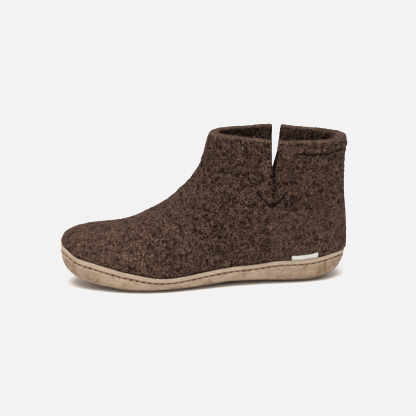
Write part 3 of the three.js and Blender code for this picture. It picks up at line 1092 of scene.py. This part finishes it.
@dataclass
class Seam:
    """The sewn line round the leather cup, with its places found on the leather. Lengths in mm."""

    drop: float = 4.7  # rim to the middle of the groove
    pitch: float = 6.0
    rounds: int = 3
    angles: int = 720
    points: np.ndarray = field(init=False)
    tangents: np.ndarray = field(init=False)
    outward: np.ndarray = field(init=False)
    beats: np.ndarray = field(init=False)

    def find(self, leather: BVHTree, rim: Skyline) -> None:
        """Traces the groove round the leather, and marks off the stitches along it.

        Args:
            leather: The leather's surface.
            rim: The height of the leather's rim along the boot.
        """
        trail, facing = [], []
        for angle in np.linspace(0, 2 * math.pi, self.angles, endpoint=False):
            out = Vector((math.cos(angle), math.sin(angle), 0))
            x = 0.1 * out.x
            for _ in range(self.rounds):
                height = float(rim.at(x)) - self.drop * MM * float(band_growth(np.array(x)))
                hit, normal, _, _ = leather.ray_cast(Vector((0, 0, height)) + out * OUTSIDE, -out)
                x = hit.x
            trail.append(hit)
            facing.append(normal)
        trail = np.array(trail)
        closed = np.vstack([trail, trail[:1]])
        run = np.concatenate([[0], np.cumsum(np.linalg.norm(np.diff(closed, axis=0), axis=1))])
        count = round(run[-1] / (self.pitch * MM))
        self.beats = run / run[-1] * count
        marks = np.arange(count) * run[-1] / count
        soft = self.even_out(closed, 5)
        self.points = self.sample(run, soft, marks)
        ahead = self.sample(run, soft, (marks + MM) % run[-1])
        self.tangents = self.unit(ahead - self.points)
        level = np.array(facing)
        level = self.unit(self.even_out(np.vstack([level, level[:1]]), 15))
        self.outward = self.unit(self.sample(run, level, marks))

    def beat(self, points: np.ndarray) -> np.ndarray:
        """Tells how near each point lies to a stitch, along the line.

        Args:
            points: The points, in metres.

        Returns:
            1 at the middle of a stitch, and -1 halfway to the next.
        """
        turns = np.arctan2(points[:, 1], points[:, 0]) / (2 * math.pi) % 1
        count = np.interp(turns, np.linspace(0, 1, len(self.beats)), self.beats)
        return np.cos(2 * math.pi * count)

    @staticmethod
    def unit(rows: np.ndarray) -> np.ndarray:
        """Scales each row to length 1."""
        return rows / np.linalg.norm(rows, axis=1)[:, None]

    @staticmethod
    def even_out(rows: np.ndarray, span: int) -> np.ndarray:
        """Averages each row of a closed line with its neighbours.

        Args:
            rows: The line, whose last row repeats its first.
            span: How many rows are averaged, an odd number.

        Returns:
            The even line, closed in the same way.
        """
        half = span // 2
        ring = rows[:-1]
        wide = np.vstack([ring[-half:], ring, ring[:half]])
        kernel = np.ones(span) / span
        even = np.stack([np.convolve(wide[:, axis], kernel, mode="valid") for axis in range(3)], axis=1)
        return np.vstack([even, even[:1]])

    @staticmethod
    def sample(run: np.ndarray, rows: np.ndarray, marks: np.ndarray) -> np.ndarray:
        """Reads a closed line at distances along it."""
        return np.stack([np.interp(marks, run, rows[:, axis]) for axis in range(3)], axis=1)


@dataclass
class SuedeSole:
    """The suede cup round the foot, its rim, groove and gathers. Lengths in mm."""

    grain: float = 0.62
    seam: Seam = field(default_factory=Seam)
    groove_width: float = 0.75
    groove_depth: float = 0.6
    lip_depth: float = 0.1  # how deep the line of the turned edge is
    band_swell: float = 0.2  # how far the rim's band stands out
    under_swell: float = 0.22  # how far the leather stands out under the groove
    pucker: float = 0.28  # how far each stitch pulls the leather in
    gathers: tuple[float, ...] = (107, 119, 134, 146, 155, 163, 171, 180, 188, 197, 206, 219, 233, 246)
    gather_depth: float = 0.42
    gather_width: float = 1.3
    triangles: int = 170000
    finish: SuedeFinish = SuedeFinish()
    piece: bpy.types.Object = field(init=False)
    rim: Skyline = field(init=False)

    def shape(self) -> None:
        """Carves the groove, turns the rim over, and pulls the leather in at stitches and gathers."""
        points = read_points(self.piece)
        normals = read_normals(self.piece)
        drop = self.under_rim(points)
        outside = self.outside(points, normals)
        line = hump(drop - self.seam.drop, self.groove_width) * outside
        move = -self.groove_depth * line
        move -= self.lip_depth * hump(drop - self.finish.lip_drop, 0.5) * outside
        move += self.band_swell * hump(drop - 2.4, 1.3) * outside
        move += self.under_swell * hump(drop - self.seam.drop - 1.9, 1.1) * outside
        for stitch in self.seam.points:
            near = np.flatnonzero(np.abs(points - stitch).max(axis=1) < 3 * MM)
            distance = np.linalg.norm(points[near] - stitch, axis=1) / MM
            move[near] -= self.pucker * hump(distance, 1.1) * outside[near]
        move -= self.gather(points, drop) * outside
        points += normals * (move * MM)[:, None]
        write_points(self.piece, points)

    def under_rim(self, points: np.ndarray) -> np.ndarray:
        """Measures how far points are below the rim, in mm, as if its band were as wide as at the heel."""
        return (self.rim.at(points[:, 0]) - points[:, 2]) / MM / band_growth(points[:, 0])

    @staticmethod
    def outside(points: np.ndarray, normals: np.ndarray) -> np.ndarray:
        """Tells the outer face of the cup from the inner one.

        Args:
            points: The mesh's vertices, in metres.
            normals: The direction that each faces.

        Returns:
            1 on the outer face, and 0 on the inner face and on the rim's top.
        """
        spread = np.stack([points[:, 0] * 0.35, points[:, 1]], axis=1)
        spread /= np.maximum(np.linalg.norm(spread, axis=1), 1e-6)[:, None]
        return rise((normals[:, :2] * spread).sum(axis=1) - 0.6 * normals[:, 2].clip(0), 0.0, 0.35)

    def gather(self, points: np.ndarray, drop: np.ndarray) -> np.ndarray:
        """Works out the upright gathers round the heel.

        Args:
            points: The mesh's vertices, in metres.
            drop: How far each is below the rim, in mm.

        Returns:
            How deep each vertex is drawn in, in mm.
        """
        centre, radius, reach = -98.0, 36.0, 24.0
        angles = np.degrees(np.arctan2(points[:, 1] / MM, points[:, 0] / MM - centre)) % 360
        depth = np.zeros(len(points))
        for index, angle in enumerate(self.gathers):
            slant = 0.35 * math.sin(index * 2.3)
            off = np.radians(angles - angle) * radius - slant * (drop - 9)
            depth = np.maximum(depth, hump(off, self.gather_width) * (0.6 + 0.4 * math.sin(index * 1.7)))
        behind = points[:, 0] < centre * MM + reach * MM
        return self.gather_depth * depth * behind * rise(drop, self.seam.drop, self.seam.drop + 3)

    def mark(self) -> None:
        """Keeps the place under the rim, the stitches' beat, painted shade in the gathers with darkening near
        the floor and at the ends, and the stain, for the material.
        """
        points = read_points(self.piece)
        normals = read_normals(self.piece)
        drop = self.under_rim(points)
        outside = self.outside(points, normals)
        write_attribute(self.piece, "drop", np.clip(drop, -3, 30))
        write_attribute(self.piece, "beat", self.seam.beat(points))
        write_attribute(self.piece, "outer", outside)
        # painted shade in the gathers; darker near the floor and, under the seam, towards the heel and toe
        gathers = self.gather(points, drop) / self.gather_depth
        floor = rise(points[:, 2], 7 * MM, 1 * MM)
        ends = rise(points[:, 0], -40 * MM, -110 * MM) + rise(points[:, 0], 60 * MM, 125 * MM)
        shade_and_darkening = 0.75 * gathers + 0.35 * floor + 0.55 * ends * rise(drop, 4.5, 8.0)
        write_attribute(self.piece, "shade_and_darkening", np.clip(shade_and_darkening, 0, 1))
        spot = np.linalg.norm(points / MM - np.array([-107.0, 24.0, 10.0]), axis=1)
        write_attribute(self.piece, "stain", 0.55 * hump(spot, 2.6))

    def build(self) -> None:
        """Models and dresses the sole."""
        self.piece = node_copy("sole", "suede_sole")
        apply_modifier(self.piece, "REMESH", mode="VOXEL", voxel_size=self.grain * MM)
        low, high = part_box("sole")
        self.rim = Skyline(surface_of(self.piece), low[0] + MM, high[0] - MM)
        points = read_points(self.piece)
        points[:, 2] -= toe_dip(points[:, 0]) * rise(self.under_rim(points), 14.0, 5.0)
        write_points(self.piece, points)
        self.rim = Skyline(surface_of(self.piece), low[0] + MM, high[0] - MM)
        drop = self.under_rim(points)
        flat = points[:, 2] < 0.5 * MM
        fair = rise(drop, 0.8, 2.5) * ~flat * (1 - 0.7 * hump(drop - self.seam.drop, 1.2))
        group = write_weights(self.piece, "soft", fair)
        apply_modifier(self.piece, "SMOOTH", factor=0.5, iterations=16, vertex_group=group)
        apply_modifier(self.piece, "SMOOTH", factor=0.5, iterations=2)
        lip = write_weights(self.piece, "lip", rise(drop, 2.4, 0.8))
        nap = bpy.data.textures.new("cut_edge", "CLOUDS")
        nap.noise_scale = 1.7 * MM
        apply_modifier(self.piece, "DISPLACE", texture=nap, texture_coords="LOCAL", vertex_group=lip,
                       strength=0.8 * MM, mid_level=0.5)
        self.seam.find(surface_of(self.piece), self.rim)
        self.shape()
        points = read_points(self.piece)
        hidden = 1 - self.outside(points, read_normals(self.piece))
        drop = (self.rim.at(points[:, 0]) - points[:, 2]) / MM
        thin_out(self.piece, self.triangles, hidden * rise(drop, 1.5, 3.0))
        self.mark()
        self.piece.data.materials.append(self.finish.make())
        finish_piece(self.piece, ("sole",))


@dataclass
class SeamThread:
    """The stitches of the sewn line, modelled once and laid along it. Lengths in mm."""

    seam: Seam
    leather: BVHTree
    length: float = 3.0
    thickness: float = 1.05
    toe_sink: float = 0.4  # how much deeper the thread lies round the toe
    arch: float = 0.42  # how far the middle of a stitch stands over its ends
    proud: float = 0.25  # how far the middle of the thread lies over the groove's bottom
    sides: int = 8
    steps: int = 6
    finish: ThreadFinish = ThreadFinish()

    def stitch(self) -> bpy.types.Object:
        """Models one stitch along X, arched up along Z, with rounded ends.

        Returns:
            The stitch, as an object with one closed mesh.
        """
        bpy.ops.object.select_all(action="DESELECT")
        bpy.ops.mesh.primitive_cylinder_add(vertices=self.sides, radius=0.5, depth=1)
        one = bpy.context.object
        bpy.ops.object.mode_set(mode="EDIT")
        bpy.ops.mesh.select_all(action="SELECT")
        for step in range(1, self.steps):
            bpy.ops.mesh.select_all(action="SELECT")
            height = step / self.steps - 0.5
            bpy.ops.mesh.bisect(plane_co=(0, 0, height), plane_no=(0, 0, 1))
        bpy.ops.object.mode_set(mode="OBJECT")
        points = read_points(one)
        along = points[:, 2].copy()
        round_end = np.sqrt(np.clip(1.08 - (2 * along) ** 2, 0.08, 1))
        bow = self.arch * (1 - (2 * along) ** 2)
        bent = np.stack([
            along * self.length,
            points[:, 0] * self.thickness * round_end,
            points[:, 1] * self.thickness * round_end + bow,
        ], axis=1)
        write_points(one, bent * MM)
        return one

    def build(self) -> None:
        """Lays a copy of the stitch at each place of the seam."""
        one = self.stitch()
        shape = read_points(one)
        faces = [tuple(face.vertices) for face in one.data.polygons]
        bpy.data.objects.remove(one)
        points, rows = [], []
        for place, ahead, out in zip(self.seam.points, self.seam.tangents, self.seam.outward):
            hit = self.leather.ray_cast(Vector(place + out * 5 * MM), Vector(-out))[0]
            base = np.array(hit) if hit is not None else place
            across = np.cross(out, ahead)
            turned = shape[:, :1] * ahead + shape[:, 1:2] * across + shape[:, 2:] * out
            first = len(points) * len(shape)
            proud = self.proud - self.toe_sink * float(rise(place[0], 70 * MM, 110 * MM))
            points.append(turned + base + out * proud * MM)
            rows.extend(tuple(first + corner for corner in face) for face in faces)
        mesh = bpy.data.meshes.new("seam_thread")
        mesh.from_pydata(np.vstack(points).tolist(), [], rows)
        piece = bpy.data.objects.new("seam_thread", mesh)
        bpy.context.scene.collection.objects.link(piece)
        face_outwards(piece)
        mesh.materials.append(self.finish.make())
        finish_piece(piece)


@dataclass
class FeltInsole:
    """The pressed felt footbed. Lengths in mm."""

    grain: float = 1.1
    triangles: int = 40000
    finish: FeltFinish = FeltFinish("footbed_felt", body=(53, 38, 31), hair=(119, 97, 85))

    def build(self) -> None:
        """Models and dresses the insole."""
        piece = node_copy("insole", "felt_insole")
        apply_modifier(piece, "REMESH", mode="VOXEL", voxel_size=self.grain * MM)
        apply_modifier(piece, "SMOOTH", factor=0.5, iterations=8)
        points = read_points(piece)
        thin_out(piece, self.triangles, rise(read_normals(piece)[:, 2], 0.3, -0.3))
        points = read_points(piece)
        write_attribute(piece, "toe", np.zeros(len(points)))
        piece.data.materials.append(self.finish.make())
        finish_piece(piece, ("insole",))


@dataclass
class SideTab:
    """The bare tape tab, caught in the joint between felt and leather. Lengths in mm."""

    felt: BVHTree
    rim: Skyline
    thickness: float = 0.4
    off: float = 0.35  # between the felt and the tape's back
    tuck: float = 0.6  # how far its foot reaches under the rim's height
    inset: float = 0.9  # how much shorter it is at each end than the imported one
    wave: float = 0.25
    curl: float = 0.9  # how far the heel end stands off
    lift: float = 1.1  # how much higher its heel end reaches
    columns: int = 26
    rows: int = 6
    finish: TapeFinish = TapeFinish()

    def build(self) -> None:
        """Models the tape from a grid laid on the felt, and dresses it."""
        low, high = (Vector(corner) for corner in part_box("side_tab"))
        bpy.ops.object.select_all(action="DESELECT")
        bpy.ops.mesh.primitive_grid_add(x_subdivisions=self.columns, y_subdivisions=self.rows, size=1)
        piece = bpy.context.object
        piece.name = "side_tab_tape"
        piece.data.name = piece.name
        points = read_points(piece)
        for point in points:
            along, up = point[0] + 0.5, point[1] + 0.5
            x = low.x + self.inset * MM + (high.x - low.x - 2 * self.inset * MM) * along
            heel = rise(np.array([along]), 0.55, 0.0)[0]
            toe = rise(np.array([along]), 0.8, 1.0)[0]
            foot = float(self.rim.at(x)) - self.tuck * MM
            height = (4.9 + self.tuck + self.lift * heel ** 2 + 0.35 * toe) * MM
            z = foot + height * up
            hit, normal, _, _ = self.felt.ray_cast(Vector((x, OUTSIDE, z)), Vector((0, -1, 0)))
            off = self.off + self.curl * heel ** 3 * up + self.wave * up * (1 + math.sin(9 * along))
            point[:] = hit + Vector((normal.x, normal.y, 0)).normalized() * off * MM
        write_points(piece, points)
        apply_modifier(piece, "SOLIDIFY", thickness=self.thickness * MM, offset=0)
        face_outwards(piece)
        apply_modifier(piece, "SUBSURF", levels=1, render_levels=1)
        piece.data.materials.append(self.finish.make())
        finish_piece(piece, ("side_tab",))


@dataclass(frozen=True)
class HairPatch:
    """A part of the felt that gets its own mesh of hairs."""

    name: str
    count: int
    low: tuple[float, float, float]  # the patch's lowest corner, in mm
    high: tuple[float, float, float]


@dataclass
class WoolHairs:
    """Loose curly hairs that lie on the felt. Lengths in mm."""

    felt: bpy.types.Object
    rim: Skyline
    patches: tuple[HairPatch, ...] = (
        HairPatch("wool_hairs_toe", 3600, (70, -60, 0), (150, 60, 100)),
        HairPatch("wool_hairs_vamp", 4400, (0, -60, 0), (70, 60, 110)),
        HairPatch("wool_hairs_ankle", 4800, (-60, -60, 0), (0, 60, 200)),
        HairPatch("wool_hairs_heel", 4200, (-150, -60, 0), (-60, 60, 72)),
        HairPatch("wool_hairs_shaft", 4800, (-150, -60, 72), (-60, 60, 200)),
    )
    clear: float = 1.6  # how far over the rim the hairs start
    length: tuple[float, float] = (2.6, 7.5)
    thickness: tuple[float, float] = (0.15, 0.40)
    turn: tuple[float, float] = (0.6, 2.6)  # how far a hair curls, in radians
    steps: int = 6
    seed: int = 27
    finish: HairFinish = HairFinish()

    def build(self) -> None:
        """Grows each patch's hairs as one joined mesh."""
        surface = surface_of(self.felt)
        mesh = self.felt.data
        mesh.calc_loop_triangles()
        corners = np.empty(len(mesh.loop_triangles) * 3, np.int32)
        mesh.loop_triangles.foreach_get("vertices", corners)
        corners = corners.reshape(-1, 3)
        triangles = read_points(self.felt)[corners]
        # no hairs grow where the painted shade in the crease attribute is strong
        shaded = np.empty(len(mesh.vertices), np.float32)
        mesh.attributes["crease"].data.foreach_get("value", shaded)
        triangles = triangles[shaded[corners].mean(axis=1) < 0.4]
        material = self.finish.make()
        random = np.random.RandomState(self.seed)
        for patch in self.patches:
            self.grow(patch, surface, triangles, random, material)

    def roots(self, patch: HairPatch, triangles: np.ndarray, random: np.random.RandomState
              ) -> tuple[np.ndarray, np.ndarray]:
        """Picks the middle of each hair at random over a patch's area.

        Args:
            patch: The patch.
            triangles: The felt's triangles, in metres.
            random: The source of chance.

        Returns:
            The hairs' middles and the direction that the felt faces there.
        """
        centres = triangles.mean(axis=1) / MM
        seen = np.all((centres >= patch.low) & (centres < patch.high), axis=1)
        seen &= centres[:, 2] > self.rim.at(centres[:, 0] * MM) / MM + self.clear
        chosen = triangles[seen]
        facing = np.cross(chosen[:, 1] - chosen[:, 0], chosen[:, 2] - chosen[:, 0])
        area = np.linalg.norm(facing, axis=1)
        inner = inside_share(chosen.mean(axis=1), facing / area[:, None])
        area *= 1 - inner * rise(chosen[:, 0, 2], 104 * MM, 98 * MM)
        picks = random.choice(len(chosen), patch.count, p=area / area.sum())
        shares = random.dirichlet((1, 1, 1), patch.count)
        middles = (chosen[picks] * shares[:, :, None]).sum(axis=1)
        out = facing[picks]
        return middles, out / np.linalg.norm(out, axis=1)[:, None]

    def grow(self, patch: HairPatch, surface: BVHTree, triangles: np.ndarray,
             random: np.random.RandomState, material: bpy.types.Material) -> None:
        """Makes one patch of hairs.

        Args:
            patch: The patch.
            surface: The felt's surface.
            triangles: The felt's triangles, in metres.
            random: The source of chance.
            material: The hairs' finish.
        """
        middles, facing = self.roots(patch, triangles, random)
        count = patch.count
        lengths = random.uniform(*self.length, count) * MM
        radii = random.uniform(*self.thickness, count) * MM / 2
        turns = random.uniform(*self.turn, count) * random.choice([-1, 1], count)
        heads = random.uniform(0, 2 * math.pi, count)
        lifts = np.abs(random.normal(0.0, 0.22, count)) * MM
        shades = random.beta(1.6, 2.0, count)
        side = np.cross(facing, random.normal(size=(count, 3)))
        side /= np.linalg.norm(side, axis=1)[:, None]
        other = np.cross(facing, side)
        run = np.linspace(-0.5, 0.5, self.steps)
        path = np.empty((count, self.steps, 3))
        start = self.steps // 2
        for order in (range(start, self.steps), range(start - 1, -1, -1)):
            here = middles.copy()
            for step in order:
                angle = heads + turns * run[step]
                ahead = np.cos(angle)[:, None] * side + np.sin(angle)[:, None] * other
                sign = 1 if step >= start else -1
                here = here + ahead * (sign * lengths / (self.steps - 1))[:, None]
                path[:, step] = here
        normals = np.empty_like(path)
        for index in range(count):
            for step in range(self.steps):
                found, normal, _, _ = surface.find_nearest(Vector(path[index, step]))
                normals[index, step] = normal
                path[index, step] = found
        height = lifts[:, None] * np.cos(np.pi * run)[None, :] + 0.06 * MM
        path += normals * height[:, :, None]
        self.thread_up(patch, path, normals, radii, shades, material)

    def thread_up(self, patch: HairPatch, path: np.ndarray, normals: np.ndarray, radii: np.ndarray,
                  shades: np.ndarray, material: bpy.types.Material) -> None:
        """Gives each hair three sides and pointed ends, and joins them in one mesh.

        Args:
            patch: The patch.
            path: The points along each hair, in metres.
            normals: The direction that the felt faces at each point.
            radii: Each hair's radius, in metres.
            shades: How light each hair is, from 0 to 1.
            material: The hairs' finish.
        """
        count, steps = path.shape[:2]
        ahead = np.gradient(path, axis=1)
        ahead /= np.maximum(np.linalg.norm(ahead, axis=2), 1e-9)[:, :, None]
        across = np.cross(normals, ahead)
        across /= np.maximum(np.linalg.norm(across, axis=2), 1e-9)[:, :, None]
        up = np.cross(ahead, across)
        rings = []
        for corner in range(3):
            angle = 2 * math.pi * corner / 3
            spoke = math.cos(angle) * across + math.sin(angle) * up
            rings.append(path[:, 1:-1] + spoke[:, 1:-1] * radii[:, None, None])
        rings = np.stack(rings, axis=2)
        inner = steps - 2
        each = inner * 3 + 2
        points = np.concatenate([rings.reshape(count, inner * 3, 3), path[:, :1], path[:, -1:]], axis=1)
        tail, head = inner * 3, inner * 3 + 1
        faces = []
        for corner in range(3):
            after = (corner + 1) % 3
            faces.append((tail, after, corner))
            faces.append((head, (inner - 1) * 3 + corner, (inner - 1) * 3 + after))
            for ring in range(inner - 1):
                low, high = ring * 3, ring * 3 + 3
                faces.append((low + corner, low + after, high + after))
                faces.append((low + corner, high + after, high + corner))
        rows = (np.array(faces)[None, :, :] + (np.arange(count) * each)[:, None, None]).reshape(-1, 3)
        mesh = bpy.data.meshes.new(patch.name)
        mesh.vertices.add(count * each)
        mesh.vertices.foreach_set("co", points.ravel())
        mesh.loops.add(rows.size)
        mesh.loops.foreach_set("vertex_index", rows.ravel())
        mesh.polygons.add(len(rows))
        mesh.polygons.foreach_set("loop_start", np.arange(0, rows.size, 3))
        mesh.update(calc_edges=True)
        piece = bpy.data.objects.new(patch.name, mesh)
        bpy.context.scene.collection.objects.link(piece)
        write_attribute(piece, "shade", np.repeat(shades, each))
        mesh.materials.append(material)
        finish_piece(piece)


@dataclass
class Studio:
    """The pale floor, soft lights and camera. Lengths in mm, angles in degrees."""

    height: float = 11.943  # how far the camera looks down
    roll: float = -2.2239
    distance: float = 1450.0
    aim: float = 70.0  # height over the floor of the point aimed at
    lens: float = 133.2
    shift: float = 0.0118
    floor_size: float = 12.0  # metres
    floor_colour: tuple[float, float, float] = (255, 253, 250)
    brightness: float = 1.64  # how much light the open floor gets
    sky: float = 0.61  # how much of that comes from all round
    key_height: float = 67.0
    key_aside: float = 4.0  # from the camera's side towards the toe
    key_width: float = 45.0
    white: float = 0.888  # the brightest that the picture shows, as light

    def camera(self) -> None:
        """Stands the camera where the photograph was taken from, at the outer side."""
        tilt, roll = math.radians(self.height), math.radians(self.roll)
        back = Vector((0, math.cos(tilt), math.sin(tilt)))
        right = Vector((-1, 0, 0))
        up = back.cross(right)
        turned = right * math.cos(roll) + up * math.sin(roll)
        upright = back.cross(turned)
        data = bpy.data.cameras.new("camera")
        data.lens = self.lens
        data.sensor_width = 36
        data.shift_x = self.shift
        eye = bpy.data.objects.new("camera", data)
        place = Matrix((turned, upright, back)).transposed().to_4x4()
        place.translation = Vector((0, 0, self.aim * MM)) + back * self.distance * MM
        eye.matrix_world = place
        bpy.context.scene.collection.objects.link(eye)
        bpy.context.scene.camera = eye

    def floor(self) -> None:
        """Lays a wide matt floor."""
        bpy.ops.object.select_all(action="DESELECT")
        bpy.ops.mesh.primitive_plane_add(size=self.floor_size, location=(0, 0, 0))
        floor = bpy.context.object
        floor.name = "floor"
        paper = Sketch("pale_floor")
        paper.set(base_color=tint(*self.floor_colour), roughness=1.0, specular_ior_level=0.0)
        floor.data.materials.append(paper.material)

    def lights(self) -> None:
        """Fills the room with even light, and adds a wide soft lamp high over the camera's side."""
        world = bpy.data.worlds.new("studio")
        world.use_nodes = True
        sky = world.node_tree.nodes["Background"]
        sky.inputs["Color"].default_value = (1, 1, 1, 1)
        sky.inputs["Strength"].default_value = self.sky
        bpy.context.scene.world = world
        data = bpy.data.lights.new("key", "SUN")
        rise_angle = math.radians(self.key_height)
        data.energy = (self.brightness - self.sky) * math.pi / math.sin(rise_angle)
        data.angle = math.radians(self.key_width)
        lamp = bpy.data.objects.new("key", data)
        level = math.cos(rise_angle)
        aside = math.radians(self.key_aside)
        place = Vector((level * math.sin(aside), level * math.cos(aside), math.sin(rise_angle)))
        lamp.rotation_euler = (-place).to_track_quat("-Z", "Y").to_euler()
        bpy.context.scene.collection.objects.link(lamp)
        self.expose()

    def expose(self) -> None:
        """Lets the light floor burn out to one even pale grey, as a catalogue photograph does."""
        view = bpy.context.scene.view_settings
        view.view_transform = "Standard"
        view.use_curve_mapping = True
        mapping = view.curve_mapping
        mapping.extend = "HORIZONTAL"
        curve = mapping.curves[3]
        curve.points[1].location = (1.0, self.white)
        curve.points.new(self.white, self.white)
        for point in curve.points:
            point.handle_type = "VECTOR"
        mapping.update()

    def build(self) -> None:
        """Sets up the studio."""
        self.camera()
        self.floor()
        self.lights()
        LOG.info("studio is set")


def main() -> None:
    """Builds the boot's pieces in order."""
    logging.basicConfig(level=logging.INFO, format="%(message)s")
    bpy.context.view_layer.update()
    Studio().build()
    sole = SuedeSole()
    sole.build()
    upper = FeltUpper(sole.rim)
    upper.build()
    SeamThread(sole.seam, surface_of(sole.piece)).build()
    FeltInsole().build()
    SideTab(surface_of(upper.piece), sole.rim).build()
    WoolHairs(upper.piece, sole.rim).build()


if __name__ == "__main__":
    main()
